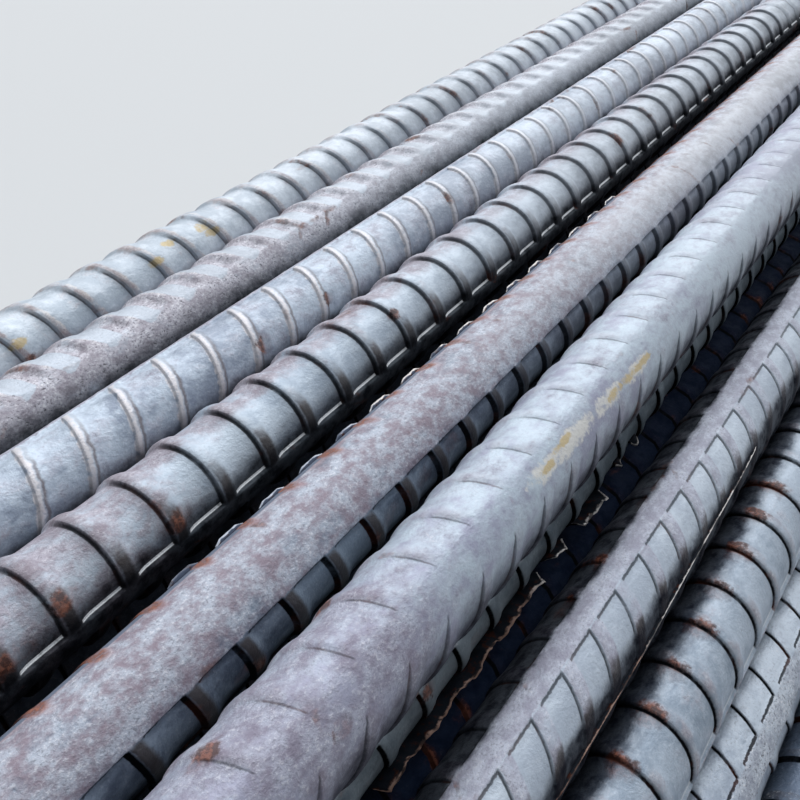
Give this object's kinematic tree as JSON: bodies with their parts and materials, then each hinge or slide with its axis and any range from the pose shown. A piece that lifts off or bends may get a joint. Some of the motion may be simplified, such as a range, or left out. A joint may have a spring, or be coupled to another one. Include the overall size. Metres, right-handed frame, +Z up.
{
  "type": "rebar bundle",
  "caption": "Bundle of ribbed steel reinforcing bars in nested rows, weathered and lightly rusted, held together by wire ties.",
  "frame": {"origin": "middle of the bundle, on the level floor that it lies on", "axes": "+X runs along the bars, +Z is up, and the loose, sloping flank faces -Y"},
  "size_m": [6.028, 0.3308, 0.1366],
  "materials": {
    "bar_steel": "hot-rolled, blue-grey mill scale with thin rust along the ribs",
    "tie_wire": "black annealed wire rod"
  },
  "bodies": {
    "root": {"bar_floor_1": "bar_steel", "bar_floor_2": "bar_steel", "bar_floor_3": "bar_steel", "bar_floor_4": "bar_steel", "bar_floor_5": "bar_steel", "bar_floor_6": "bar_steel", "bar_floor_7": "bar_steel", "bar_floor_8": "bar_steel", "bar_floor_9": "bar_steel", "bar_floor_10": "bar_steel", "bar_second_1": "bar_steel", "bar_second_2": "bar_steel", "bar_second_3": "bar_steel", "bar_second_4": "bar_steel", "bar_second_5": "bar_steel", "bar_second_6": "bar_steel", "bar_second_7": "bar_steel", "bar_second_8": "bar_steel", "bar_second_9": "bar_steel", "bar_third_1": "bar_steel", "bar_third_2": "bar_steel", "bar_third_3": "bar_steel", "bar_third_4": "bar_steel", "bar_third_5": "bar_steel", "bar_third_6": "bar_steel", "bar_third_7": "bar_steel", "bar_third_8": "bar_steel", "bar_fourth_1": "bar_steel", "bar_fourth_2": "bar_steel", "bar_fourth_3": "bar_steel", "bar_fourth_4": "bar_steel", "bar_fourth_5": "bar_steel", "bar_fourth_6": "bar_steel", "bar_fourth_7": "bar_steel", "bar_top_1": "bar_steel", "bar_top_2": "bar_steel", "bar_top_3": "bar_steel", "bar_top_4": "bar_steel", "bar_top_5": "bar_steel", "bar_top_6": "bar_steel", "tie_wire_1": "tie_wire", "tie_wire_2": "tie_wire", "tie_wire_3": "tie_wire", "tie_wire_4": "tie_wire"}
  },
  "joints": []
}
